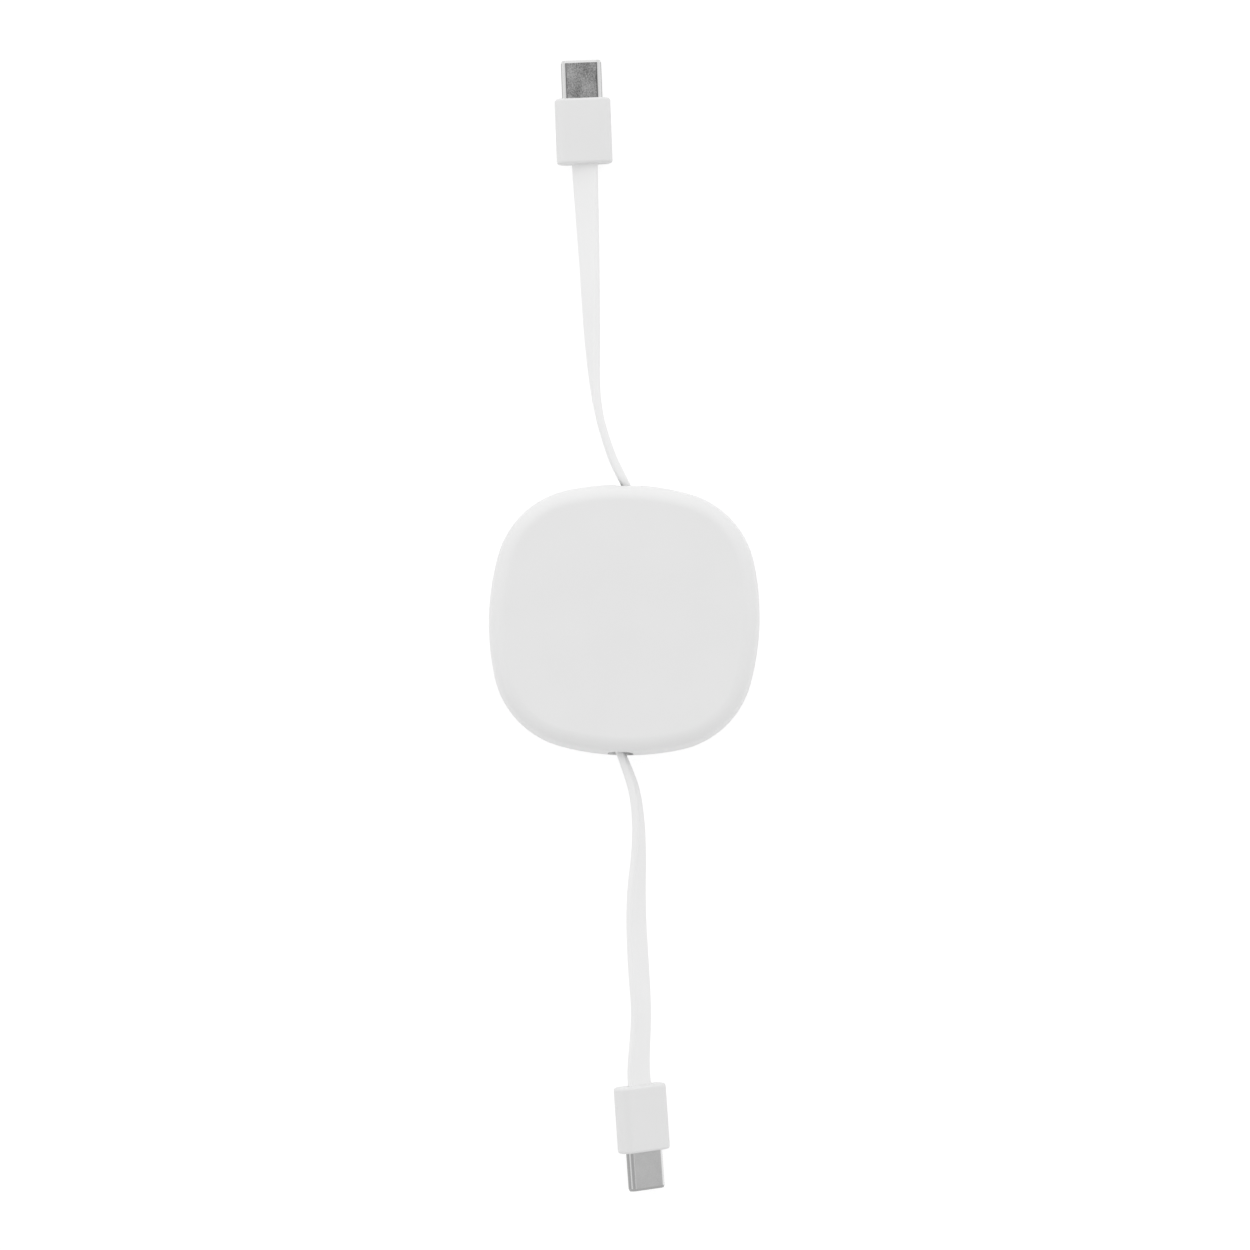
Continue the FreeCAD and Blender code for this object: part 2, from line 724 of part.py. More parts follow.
def make_lead(plug, route):
    """Flat ribbon from the winding through its mouth to the plug, twisting on the way."""
    label = f"lead_{plug}"
    item = doc.addObject("Part::Feature", label)
    item.Label = label
    placement = plug_placement(plug)
    forward = placement.Rotation.multVec(FreeCAD.Vector(0, 0, 1))
    points = [FreeCAD.Vector(x, y, SEAM.value + rise) for x, y, rise, _ in route]
    points += [placement.Base - forward * S["lead_in"].value, placement.Base]
    rolls = [roll for _, _, _, roll in route]
    end_roll = abs(S[f"plug_{plug}_roll"].value)
    rolls += [(rolls[-1] + end_roll) / 2, end_roll]
    path, radii, marks = rounded_path(points)
    sections = []
    travelled = 0.0
    for edge in path.Edges:
        first, last = edge.ParameterRange
        bent = isinstance(edge.Curve, Part.Circle) and last - first > SHARP_BEND
        shares = (0.0, 0.5) if bent else (0.0,)
        for share in shares:
            value = first + (last - first) * share
            roll = between(travelled + edge.Length * share, marks, rolls)
            sections.append(ribbon_section(edge.valueAt(value), edge.tangentAt(value), roll))
        travelled += edge.Length
    sections.append(ribbon_section(points[-1], forward, end_roll))
    item.Shape = Part.makeLoft(sections, True, True)
    plain_volume = S["ribbon_width"].value * S["ribbon_thick"].value * path.Length
    print(label, "length", round(path.Length, 2), "radii", [round(r, 1) for r in radii])
    print(label, "volume against section times length", round(item.Shape.Volume / plain_volume, 4))
    return item


def plug_body(plug, piece):
    """An empty body at the plug's place, with its length along its own Z axis."""
    body = new_body(f"plug_{plug}_{piece}")
    body.Placement = plug_placement(plug)
    return body


def make_grip(plug):
    """Moulded grip with soft edges, hollow for the core and open for the shell."""
    body = plug_body(plug, "grip")
    outside = Drawing(body, f"grip_{plug}_outline")
    outside.rounded_box(S["grip_width"], S["grip_thick"], S["grip_side_radius"])
    block = pad(body, outside, S["grip_length"])
    names = edges_at(block.Shape, 0.0) + edges_at(block.Shape, S["grip_length"].value)
    chamfer(body, block, names, S["grip_edge"])
    gap = S["mould_gap"]
    cavity = Drawing(body, f"grip_{plug}_cavity", level=S["core_rear"] - gap)
    cavity.rounded_box(S["core_width"] + gap * 2, S["core_thick"] + gap * 2, S["core_radius"] + gap)
    pocket(body, cavity, CORE_TIP - S["core_rear"] + gap * 2, upwards=True)
    opening = Drawing(body, f"grip_{plug}_opening", level=CORE_TIP)
    opening.stadium(S["shell_width"] + gap * 2, S["shell_thick"] + gap * 2)
    pocket(body, opening, S["grip_front_wall"], upwards=True)
    return body


def make_shell(plug):
    """Drawn metal shell: a tube with full round sides and a softened tip."""
    body = plug_body(plug, "shell")
    tube = Drawing(body, f"shell_{plug}_section", level=SHELL_LOW)
    tube.stadium(S["shell_width"], S["shell_thick"])
    block = pad(body, tube, SHELL_TIP - SHELL_LOW)
    chamfer(body, block, edges_at(block.Shape, SHELL_TIP.value), S["shell_edge"])
    bore = Drawing(body, f"shell_{plug}_bore", level=SHELL_LOW)
    wall = S["shell_wall"]
    bore.stadium(S["shell_width"] - wall * 2, S["shell_thick"] - wall * 2)
    pocket(body, bore, SHELL_TIP - SHELL_LOW, upwards=True)
    return body


def contact_places(row):
    """Middle of each contact of a row, across the plug."""
    middle = (PLACES_IN_ROW - 1) / 2
    return [S["contact_pitch"] * (place - middle) for place in row]


def make_insulator(plug):
    """Moulded carrier: a rear block and two lips round the tongue space, grooved for the contacts."""
    body = plug_body(plug, "insulator")
    block = Drawing(body, f"insulator_{plug}_section", level=INSULATOR_LOW)
    block.stadium(S["insulator_width"], S["insulator_thick"])
    pad(body, block, S["insulator_length"])
    half_tongue = S["tongue_thick"] / 2
    tongue = Drawing(body, f"insulator_{plug}_tongue", level=TONGUE_LOW)
    wide = S["shell_width"] / 2
    tongue.polygon(
        (
            (-wide, -half_tongue),
            (wide, -half_tongue),
            (wide, half_tongue),
            (-wide, half_tongue),
        )
    )
    pocket(body, tongue, S["tongue_depth"], upwards=True)
    grooves = Drawing(body, f"insulator_{plug}_grooves", level=INSULATOR_LOW)
    reach = S["contact_width"] / 2 + S["contact_gap"]
    depth = S["contact_thick"] + S["contact_gap"] * 2
    for row, side in ((UPPER_CONTACTS, 1), (LOWER_CONTACTS, -1)):
        for place in contact_places(row):
            near = half_tongue * side
            far = (half_tongue + depth) * side
            grooves.polygon(
                ((place - reach, near), (place + reach, near), (place + reach, far), (place - reach, far))
            )
    pocket(body, grooves, S["insulator_length"], upwards=True)
    return body


def make_boxes(plug, piece, boxes):
    """A group of plain blocks at the plug's place, each from its sizes and its low corner."""
    label = f"plug_{plug}_{piece}"
    blocks = []
    for number, (sizes, corner) in enumerate(boxes, start=1):
        block = doc.addObject("Part::Box", f"{label}_{number}")
        for name, size in zip(("Length", "Width", "Height"), sizes):
            bind(block, name, size)
        for axis, size in zip("xyz", corner):
            setattr(block.Placement.Base, axis, size.value)
            block.setExpression(f"Placement.Base.{axis}", size.text)
        blocks.append(block)
    group = doc.addObject("Part::Compound", label)
    group.Label = label
    group.Links = blocks
    group.Placement = plug_placement(plug)
    return group


def make_contacts(plug, piece, row, side):
    """One row of contact strips, lying in the insulator's grooves with tails on the board."""
    width = S["contact_width"]
    length = S["insulator_length"] + S["contact_tail"] - S["insulator_setback"]
    near = S["tongue_thick"] / 2 + S["contact_gap"]
    low = near if side > 0 else -near - S["contact_thick"]
    boxes = []
    for place in contact_places(row):
        corner = (place - width / 2, low, INSULATOR_LOW - S["contact_tail"])
        boxes.append(((width, S["contact_thick"], length), corner))
    return make_boxes(plug, piece, boxes)


def make_latches(plug):
    """Two spring arms at the sides of the tongue space, with hooks that grip the socket's tongue."""
    body = plug_body(plug, "latches")
    body.AllowCompound = True
    outer = S["insulator_width"] / 2 - S["contact_gap"]
    inner = outer - S["latch_width"]
    low = TONGUE_LOW + S["contact_gap"]
    high = low + S["latch_length"]
    arm = Drawing(body, f"latch_{plug}_arm", plane="XZ_Plane")
    arm.polygon(
        (
            (inner, low),
            (outer, low),
            (outer, high),
            (inner, high),
            (inner - S["latch_hook"], high - S["latch_hook"]),
            (inner, high - S["latch_hook"] * 2),
        )
    )
    feature = pad(body, arm, S["latch_thick"])
    feature.SideType = "Symmetric"
    mirror = body.newObject("PartDesign::Mirrored", f"latch_{plug}_pair")
    mirror.Originals = [feature]
    mirror.MirrorPlane = (arm.sketch, ["V_Axis"])
    body.Tip = mirror
    doc.recompute()
    return body


def make_ground_springs(plug):
    """Two thin spring plates between the insulator and the shell."""
    thick = S["spring_plate_thick"]
    sizes = (S["spring_plate_width"], thick, S["spring_plate_length"])
    outside = S["insulator_thick"] / 2 + S["contact_gap"]
    low = INSULATOR_TIP - S["spring_plate_length"] - S["insulator_setback"]
    left = -S["spring_plate_width"] / 2
    boxes = [(sizes, (left, outside, low)), (sizes, (left, -outside - thick, low))]
    return make_boxes(plug, "ground_springs", boxes)


def make_board(plug):
    """Small circuit board that joins the ribbon's cores to the contacts."""
    sizes = (S["board_width"], S["board_thick"], S["board_length"])
    corner = (-S["board_width"] / 2, -S["board_thick"] / 2, BOARD_LOW)
    return make_boxes(plug, "board", [(sizes, corner)])


def make_inner_mould(plug):
    """First moulding round the shell's root and the board, under the grip."""
    body = plug_body(plug, "inner_mould")
    block = Drawing(body, f"core_{plug}_outline", level=S["core_rear"])
    block.rounded_box(S["core_width"], S["core_thick"], S["core_radius"])
    pad(body, block, CORE_TIP - S["core_rear"])
    gap = S["mould_gap"]
    seat = Drawing(body, f"core_{plug}_shell_seat", level=SHELL_LOW - gap)
    seat.stadium(S["shell_width"] + gap * 2, S["shell_thick"] + gap * 2)
    pocket(body, seat, CORE_TIP - SHELL_LOW + gap, upwards=True)
    bed = Drawing(body, f"core_{plug}_board_seat", level=BOARD_LOW - gap)
    across = S["board_width"] / 2 + gap
    through = S["board_thick"] / 2 + S["contact_thick"] + S["contact_gap"] + gap
    bed.polygon(((-across, -through), (across, -through), (across, through), (-across, through)))
    pocket(body, bed, SHELL_LOW - BOARD_LOW + gap, upwards=True)
    return body


def make_plug(plug):
    """All the pieces of one plug."""
    return [
        make_grip(plug),
        make_shell(plug),
        make_insulator(plug),
        make_contacts(plug, "contacts_upper", UPPER_CONTACTS, 1),
        make_contacts(plug, "contacts_lower", LOWER_CONTACTS, -1),
        make_latches(plug),
        make_ground_springs(plug),
        make_board(plug),
        make_inner_mould(plug),
    ]


def check_and_write(pieces):
    """Stop on any failed object or bad shape, then write one file for each piece."""
    doc.recompute()
    for item in doc.Objects:
        if "Invalid" in item.State or "Error" in item.State:
            raise RuntimeError(f"{item.Name} failed: {item.State}")
    for piece in pieces:
        if piece.Shape.isNull() or not piece.Shape.isValid() or not piece.Shape.Solids:
            raise RuntimeError(f"{piece.Label} has no sound solid")
    os.makedirs("parts", exist_ok=True)
    for piece in pieces:
        piece.Shape.exportStep(f"parts/{piece.Label}.step")


pieces = [
    make_top_cover(),
    make_base_shell(),
    make_reel(),
    make_power_spring(),
    make_cable_winding(),
    make_ratchet_ball(),
    make_lead("a", LEAD_A_ROUTE),
    make_lead("b", LEAD_B_ROUTE),
]
pieces += make_plug("a")
pieces += make_plug("b")
check_and_write(pieces)
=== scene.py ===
import math

import bmesh
import bpy
import numpy as np
from mathutils import Matrix, Vector


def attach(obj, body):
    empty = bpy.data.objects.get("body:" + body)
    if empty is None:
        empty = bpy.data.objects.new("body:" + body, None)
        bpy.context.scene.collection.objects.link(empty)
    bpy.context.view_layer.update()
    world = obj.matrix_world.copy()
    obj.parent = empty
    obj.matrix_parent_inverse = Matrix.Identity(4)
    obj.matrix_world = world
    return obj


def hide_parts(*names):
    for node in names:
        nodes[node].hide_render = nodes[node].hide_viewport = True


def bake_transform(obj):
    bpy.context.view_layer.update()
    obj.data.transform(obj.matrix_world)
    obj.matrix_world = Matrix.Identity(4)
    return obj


# A white retractable USB-C cable, seen from above on a white table.
# Metres. The frame is the part's own: origin under the middle of the case, +Y towards plug A.

MM = 0.001

# Case: the outline is four long side arcs and four corner arcs, as in the part
CASE_HALF = 27.5 * MM
SIDE_RADIUS = 52.3 * MM
CORNER_RADIUS = 18.5 * MM
CASE_TOP = 13.2 * MM
SEAM = 5.9 * MM
COVER_DRAFT = math.radians(7.0)
BASE_DRAFT = math.radians(1.0)
WALL = 1.7 * MM
ROOF_LOW = 10.6 * MM
FLOOR_TOP = 2.0 * MM
TOP_EDGE_RADIUS = 3.0 * MM
BASE_EDGE_RADIUS = 2.4 * MM
SEAM_GROOVE = 0.07 * MM
MOUTH_WIDTH = 5.2 * MM
MOUTH_LOW = 2.3 * MM
MOUTH_HIGH = 10.1 * MM

# Inside the case: the axle, its slot for the spring's end, and the slot that the ball slides in
AXLE_RADIUS = 2.4 * MM
AXLE_TIP_RADIUS = 1.5 * MM
AXLE_SHOULDER = 10.55 * MM
AXLE_TIP = 11.75 * MM
SOCKET_GAP = 0.05 * MM
SPRING_SLOT_LOW = (1.2 * MM, -0.5 * MM, 2.0 * MM)
SPRING_SLOT_HIGH = (4.8 * MM, 0.2 * MM, 8.7 * MM)
BALL_SLOT_LOW = (11.4 * MM, -1.1 * MM, 8.0 * MM)
BALL_SLOT_HIGH = (18.1 * MM, 1.1 * MM, 11.4 * MM)

# Ribbon and winding
RIBBON_WIDTH = 5.2 * MM
RIBBON_THICK = 1.5 * MM
RIBBON_ROUND = 0.5 * MM
HUB_RADIUS = 9.6 * MM
WINDING_RADIUS = 22.3 * MM
LEAD_IN = 4.0 * MM
LEAD_TUCK = 6.0 * MM
ROUTE_STEPS = 10
ROUTE_ORDER = 3
ROLL_BLUR = 4.0 * MM
ROLL_SAMPLES = 9

# Plug grip, with its length along its own Z axis from the rear face
GRIP_LENGTH = 13.4 * MM
GRIP_WIDTH = 11.4 * MM
GRIP_THICK = 5.0 * MM
GRIP_SIDE_RADIUS = 2.2 * MM
GRIP_EDGE_RADIUS = 0.6 * MM
GRIP_FRONT_WALL = 1.0 * MM
SHELL_WIDTH = 8.25 * MM
SHELL_THICK = 2.4 * MM
SHELL_WALL = 0.25 * MM
SHELL_ROOT = 6.0 * MM
SHELL_REACH = 7.8 * MM
SHELL_LIP_DEPTH = 0.2 * MM
SHELL_LIP_LENGTH = 0.55 * MM
SHELL_LIP_SHARES = (0.0, 0.1, 0.5, 0.9)
CORE_WIDTH = 9.4 * MM
CORE_THICK = 3.8 * MM
CORE_RADIUS = 1.6 * MM
CORE_REAR = 1.4 * MM
MOULD_GAP = 0.03 * MM

# Each plug: middle of the grip's rear face, heading, dip of the tip, and roll about its own length
PLUGS = {
    "a": ((-10.67, 93.05, 2.55), 3.8, 0.0, 0.0),
    "b": ((5.73, -94.29, 5.467), 185.6, 5.0, -32.0),
}

# Route of each lead, from the winding to near its plug: x, y, z and roll of the ribbon in degrees
ROUTES = {
    "a": (
        (11.0, 20.3, 5.9, 90.0),
        (6.2, 22.9, 5.9, 90.0),
        (0.75, 25.2, 5.9, 90.0),
        (-1.45, 29.2, 5.9, 86.0),
        (-3.85, 33.8, 5.6, 88.0),
        (-6.92, 43.2, 5.0, 89.0),
        (-8.15, 56.5, 4.0, 66.0),
        (-9.1, 72.2, 3.0, 49.0),
    ),
    "b": (
        (-11.0, -20.3, 5.9, 90.0),
        (-6.2, -22.9, 5.9, 90.0),
        (-0.8, -25.2, 5.9, 90.0),
        (1.16, -29.6, 5.9, 80.0),
        (3.4, -35.4, 5.9, 78.0),
        (4.42, -45.0, 5.9, 72.0),
        (3.84, -57.5, 5.9, 52.0),
        (4.88, -71.0, 5.9, 44.0),
        (5.8, -80.0, 5.9, 52.0),
    ),
}

# Points along round stretches, and angles in degrees under which edges are shaded smooth
ROD_STEPS = 48
SIDE_STEPS = 24
CORNER_STEPS = 16
CASE_EDGE_STEPS = 8
MOUTH_STEPS = 17
RIBBON_CORNER_STEPS = 4
WOUND_STEPS_PER_TURN = 60
GRIP_STEPS = 5
SHELL_STEPS = 9
SMOOTH_ANGLE = 40.0
CASE_SMOOTH_ANGLE = 30.0
FLAT_WEIGHT = 100

# How far from the case's middle the mouths' cutter goes, against half the case's width
CUTTER_REACH = 1.5

# A full round side takes a little under half the thickness, so that no two points fall together
FULL_ROUND = 0.49

# Moulded plastic: a slight clouding and an uneven sheen, coarser than the grain
PLASTIC_IOR = 1.47
CLOUD_SCALE = 90.0
CLOUD_SHADE = 0.985
SHEEN_SPREAD = 0.05
SHEEN_COARSENESS = 4

# Small metal pieces: how far the polish varies, as a share
POLISH_SPREAD = 0.2

# Shell steel: grain, a broader clouding in it and roughness, the flats' level, which paints part of their
# reflection, and where the painted reflections change, by how squarely faces look along the plug's own
# upward axis, or along its forward axis for the lip
STEEL_GRAIN = 4200.0
STEEL_CLOUD = 300.0
STEEL_CLOUD_SHARE = 0.37
STEEL_GRAIN_SPREAD = 0.12
STEEL_RELIEF = 0.006 * MM
FLAT_LEVEL = 0.46
SIDE_ROUGHNESS = 0.20
FLAT_ROUGHNESS = 0.36
EDGE_END = 0.42
SIDE_START = 0.60
SIDE_END = 0.97
CREASE_START = 0.985
FLAT_RANGE = (0.995, 0.999)
LIP_RANGE = (0.10, 0.30)

# Shells' grain and painted reflections: contrast of the blasted grain, which also paints its sparkle, and
# painted reflection levels of the dark crease, the bright bent sides and the lip.
# Each plug has its own, matched to how the photograph shows it: A lies flat and B is rolled, so these are
# lit and shaded copies of one steel.
SHELL_GRAIN_AND_PAINTED_REFLECTIONS = {"a": (0.22, 0.20, 0.70, 0.70), "b": (0.03, 0.48, 0.74, 0.38)}
# Painted dark reflection on the shells' steepest sides
SHELL_EDGE_DARK_REFLECTION = 0.36

# Photograph: from above and a little from the south, the case's middle near the middle of the frame
FRAME_WIDTH = 0.254
CAMERA_DISTANCE = 1.5
CAMERA_ROLL = 0.028
CAMERA_TILT = math.radians(2.5)
FRAME_CENTRE = (0.17 * MM, -1.05 * MM)
SENSOR_WIDTH = 36.0

# Light: its level and lean, the height where the backdrop turns grey overhead, the lamp and the table
LIGHT_LEVEL = 0.965
LIGHT_LEAN = (-0.025, 0.28, -0.10)
BACKDROP_WHITE = 0.7
BACKDROP_GREY = 0.9
OVERHEAD_LEVEL = 0.46
LAMP_PLACE = (-0.12, 0.40, 0.42)
LAMP_SIZE = 0.55
LAMP_POWER = 0.16
FLOOR_HALF = 2.0
FLOOR_BOUNCE = 0.93
FLOOR_SHADOW = 0.30
FLOOR_GLOW = 0.80

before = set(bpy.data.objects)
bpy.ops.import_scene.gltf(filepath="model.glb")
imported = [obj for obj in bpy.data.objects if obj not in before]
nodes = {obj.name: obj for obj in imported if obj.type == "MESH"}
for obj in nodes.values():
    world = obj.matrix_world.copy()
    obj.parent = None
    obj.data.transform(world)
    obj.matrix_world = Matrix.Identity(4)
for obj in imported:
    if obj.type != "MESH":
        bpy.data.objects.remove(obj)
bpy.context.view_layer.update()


def new_object(name, mesh):
    """An object for a mesh, in the scene."""
    item = bpy.data.objects.new(name, mesh)
    bpy.context.scene.collection.objects.link(item)
    return item


def loft(name, rings, joined=False):
    """A closed skin through rings of points, capped at its ends or joined end to end."""
    mesh = bpy.data.meshes.new(name)
    skin = bmesh.new()
    rows = [[skin.verts.new(point) for point in ring] for ring in rings]
    count = len(rows[0])
    pairs = list(zip(rows, rows[1:]))
    if joined:
        pairs.append((rows[-1], rows[0]))
    else:
        skin.faces.new(rows[0][::-1])
        skin.faces.new(rows[-1])
    for low, high in pairs:
        for here in range(count):
            there = (here + 1) % count
            skin.faces.new((low[here], low[there], high[there], high[here]))
    bmesh.ops.recalc_face_normals(skin, faces=skin.faces)
    skin.to_mesh(mesh)
    skin.free()
    return new_object(name, mesh)


def make_bar(name, low, high):
    """A block between two corners."""
    sides = ((low[0], low[1]), (high[0], low[1]), (high[0], high[1]), (low[0], high[1]))
    return loft(name, [[(x, y, z) for x, y in sides] for z in (low[2], high[2])])


def make_rod(name, stations):
    """A round rod about Z, given as radius and height from its foot up."""
    turns = np.linspace(0, 2 * math.pi, ROD_STEPS, endpoint=False)
    rings = [[(radius * math.cos(t), radius * math.sin(t), z) for t in turns] for radius, z in stations]
    return loft(name, rings)


def soften(item, angle=SMOOTH_ANGLE):
    """Smooth shading that keeps flats flat and edges sharper than an angle crisp."""
    item.data.shade_smooth()
    item.data.set_sharp_from_angle(angle=math.radians(angle))
    weighted = item.modifiers.new("flat_faces", "WEIGHTED_NORMAL")
    weighted.keep_sharp = True
    weighted.weight = FLAT_WEIGHT


def combine(item, other, operation):
    """Cut another piece out of a piece, or weld it on, and drop the other."""
    change = item.modifiers.new(operation, "BOOLEAN")
    change.object = other
    change.operation = operation
    change.solver = "EXACT"
    graph = bpy.context.evaluated_depsgraph_get()
    mesh = bpy.data.meshes.new_from_object(item.evaluated_get(graph))
    item.modifiers.clear()
    item.data = mesh
    bpy.data.objects.remove(other)


def case_outline(inset):
    """Points round the case's outline, drawn in by an inset."""
    shift = SIDE_RADIUS - CASE_HALF
    gap = SIDE_RADIUS - CORNER_RADIUS
    corner = (math.sqrt(2 * gap**2 - shift**2) - shift) / 2
    sweep = math.atan2(corner, corner + shift)
    points = []
    for quarter in range(4):
        turn = quarter * math.pi / 2
        ahead = Vector((math.cos(turn), math.sin(turn)))
        aside = Vector((-ahead.y, ahead.x))
        side_centre = -ahead * shift
        corner_centre = (ahead + aside) * corner
        for angle in np.linspace(turn - sweep, turn + sweep, SIDE_STEPS, endpoint=False):
            reach = SIDE_RADIUS - inset
            points.append(side_centre + Vector((math.cos(angle), math.sin(angle))) * reach)
        corner_end = turn + math.pi / 2 - sweep
        for angle in np.linspace(turn + sweep, corner_end, CORNER_STEPS, endpoint=False):
            reach = CORNER_RADIUS - inset
            points.append(corner_centre + Vector((math.cos(angle), math.sin(angle))) * reach)
    return points


def case_profile(rise, radius, draft):
    """Inset and height, from the seam up a drafted side and round a soft edge."""
    middle_rise = rise - radius
    middle_inset = middle_rise * math.tan(draft) + radius / math.cos(draft)
    profile = [(SEAM_GROOVE, 0.0), (SEAM_GROOVE * math.tan(draft), SEAM_GROOVE)]
    for angle in np.linspace(draft, math.pi / 2, CASE_EDGE_STEPS + 1):
        profile.append((middle_inset - radius * math.cos(angle), middle_rise + radius * math.sin(angle)))
    return profile


def make_case_half(name, rise, radius, draft, depth, side):
    """One half of the case: soft outside, hollow inside, and the two lead mouths cut through its walls."""
    levels = [(WALL, depth), (WALL, 0.0)] + case_profile(rise, radius, draft)
    rings = [[(x, y, SEAM + side * height) for x, y in case_outline(inset)] for inset, height in levels]
    half = loft(name, rings)
    combine(half, make_mouth_cutter(), "DIFFERENCE")
    return half


def make_cover():
    """Upper half of the case, with the ball's slot and the axle's socket in its roof."""
    rise = CASE_TOP - SEAM
    cover = make_case_half("case_cover", rise, TOP_EDGE_RADIUS, COVER_DRAFT, ROOF_LOW - SEAM, 1)
    combine(cover, make_bar("ball_slot", BALL_SLOT_LOW, BALL_SLOT_HIGH), "DIFFERENCE")
    reach = AXLE_TIP_RADIUS + SOCKET_GAP
    socket = make_rod("axle_socket", [(reach, SEAM), (reach, AXLE_TIP + 2 * SOCKET_GAP)])
    combine(cover, socket, "DIFFERENCE")
    return cover


def make_base():
    """Lower half of the case, with the axle and the axle's slot for the spring's end."""
    base = make_case_half("case_base", SEAM, BASE_EDGE_RADIUS, BASE_DRAFT, SEAM - FLOOR_TOP, -1)
    stations = [
        (AXLE_RADIUS, FLOOR_TOP / 2),
        (AXLE_RADIUS, AXLE_SHOULDER),
        (AXLE_TIP_RADIUS, AXLE_SHOULDER),
        (AXLE_TIP_RADIUS, AXLE_TIP),
    ]
    combine(base, make_rod("axle", stations), "UNION")
    combine(base, make_bar("spring_slot", SPRING_SLOT_LOW, SPRING_SLOT_HIGH), "DIFFERENCE")
    return base


def make_mouth_cutter():
    """The space of both mouths: an upright slot right through the case along Y."""
    radius = MOUTH_WIDTH / 2
    points = []
    for angle in np.linspace(0, math.pi, MOUTH_STEPS):
        points.append((radius * math.cos(angle), MOUTH_HIGH - radius + radius * math.sin(angle)))
    for angle in np.linspace(math.pi, 2 * math.pi, MOUTH_STEPS):
        points.append((radius * math.cos(angle), MOUTH_LOW + radius + radius * math.sin(angle)))
    reach = CASE_HALF * CUTTER_REACH
    return loft("mouth_cutter", [[(x, y, z) for x, z in points] for y in (-reach, reach)])


def ribbon_section():
    """Points round the ribbon's section: x across its width, y through it."""
    points = []
    across = RIBBON_WIDTH / 2 - RIBBON_ROUND
    through = RIBBON_THICK / 2 - RIBBON_ROUND
    corners = ((across, through), (-across, through), (-across, -through), (across, -through))
    for quarter, (x, y) in enumerate(corners):
        start = quarter * math.pi / 2
        for angle in np.linspace(start, (quarter + 1) * math.pi / 2, RIBBON_CORNER_STEPS):
            points.append((x + RIBBON_ROUND * math.cos(angle), y + RIBBON_ROUND * math.sin(angle)))
    return points


def spline_points(points):
    """Points along a smooth line that has the given points as its control points."""
    curve = bpy.data.curves.new("route", "CURVE")
    curve.dimensions = "3D"
    curve.resolution_u = ROUTE_STEPS
    spline = curve.splines.new("NURBS")
    spline.points.add(len(points) - 1)
    for point, place in zip(spline.points, points):
        point.co = (*place, 1.0)
    spline.order_u = ROUTE_ORDER
    spline.use_endpoint_u = True
    item = new_object("route", curve)
    graph = bpy.context.evaluated_depsgraph_get()
    mesh = bpy.data.meshes.new_from_object(item.evaluated_get(graph))
    found = [vertex.co.copy() for vertex in mesh.vertices]
    bpy.data.objects.remove(item)
    bpy.data.curves.remove(curve)
    bpy.data.meshes.remove(mesh)
    return found


def ribbon_ring(place, along, roll):
    """The ribbon's section across its line, rolled from lying flat."""
    level = along.cross(Vector((0, 0, 1))).normalized()
    upright = level.cross(along)
    across = level * math.cos(roll) + upright * math.sin(roll)
    through = upright * math.cos(roll) - level * math.sin(roll)
    return [place + across * x + through * y for x, y in ribbon_section()]


def plug_matrix(plug):
    """From a plug's own axes to the frame: X across, Y through, Z towards the tip."""
    rear, heading, dip, roll = PLUGS[plug]
    upright = Matrix(((-1, 0, 0), (0, 0, 1), (0, 1, 0))).to_4x4()
    turn = Matrix.Rotation(math.radians(heading), 4, "Z")
    turn = turn @ Matrix.Rotation(math.radians(-dip), 4, "X")
    turn = turn @ Matrix.Rotation(math.radians(roll), 4, "Y")
    return Matrix.Translation(Vector(rear) * MM) @ turn @ upright


def make_lead(plug):
    """Ribbon lead on its route, with its end moulded into the grip."""
    route = ROUTES[plug]
    place = plug_matrix(plug)
    forward = place.to_3x3() @ Vector((0, 0, 1))
    rear = place.translation
    points = [Vector(stop[:3]) * MM for stop in route]
    points += [rear - forward * LEAD_IN, rear, rear + forward * LEAD_TUCK]
    line = spline_points(points)
    end_roll = abs(PLUGS[plug][3])
    rolls = [stop[3] for stop in route]
    rolls += [(rolls[-1] + end_roll) / 2, end_roll, end_roll]
    rolls = [math.radians(roll) for roll in rolls]
    reaches = [abs(point.y) for point in points]
    spread = np.linspace(-ROLL_BLUR, ROLL_BLUR, ROLL_SAMPLES)
    rings = []
    for number, spot in enumerate(line):
        before = line[max(number - 1, 0)]
        after = line[min(number + 1, len(line) - 1)]
        roll = float(np.mean(np.interp(abs(spot.y) + spread, reaches, rolls)))
        rings.append(ribbon_ring(spot, (after - before).normalized(), roll))
    lead = loft(f"ribbon_{plug}", rings)
    soften(lead)
    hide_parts(f"lead_{plug}")
    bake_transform(lead)
    return lead


def make_wound_ribbon(plug):
    """One wound ribbon, turn on turn with the other's between, that leaves the leads' inner ends free."""
    leave = Vector(ROUTES[plug][0][:2])
    end_angle = math.atan2(leave.y, leave.x)
    end_radius = WINDING_RADIUS - RIBBON_THICK / 2
    pitch = 2 * RIBBON_THICK
    turns = (end_radius - HUB_RADIUS - RIBBON_THICK / 2) / pitch
    rings = []
    for back in np.linspace(turns, 0, int(turns * WOUND_STEPS_PER_TURN)):
        angle = end_angle - back * 2 * math.pi
        radius = end_radius - back * pitch
        place = Vector((radius * math.cos(angle), radius * math.sin(angle), SEAM))
        along = Vector((-math.sin(angle), math.cos(angle), 0))
        rings.append(ribbon_ring(place, along, math.pi / 2))
    wound = loft(f"wound_ribbon_{plug}", rings)
    soften(wound)
    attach(wound, "reel")
    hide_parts("cable_winding")
    return wound


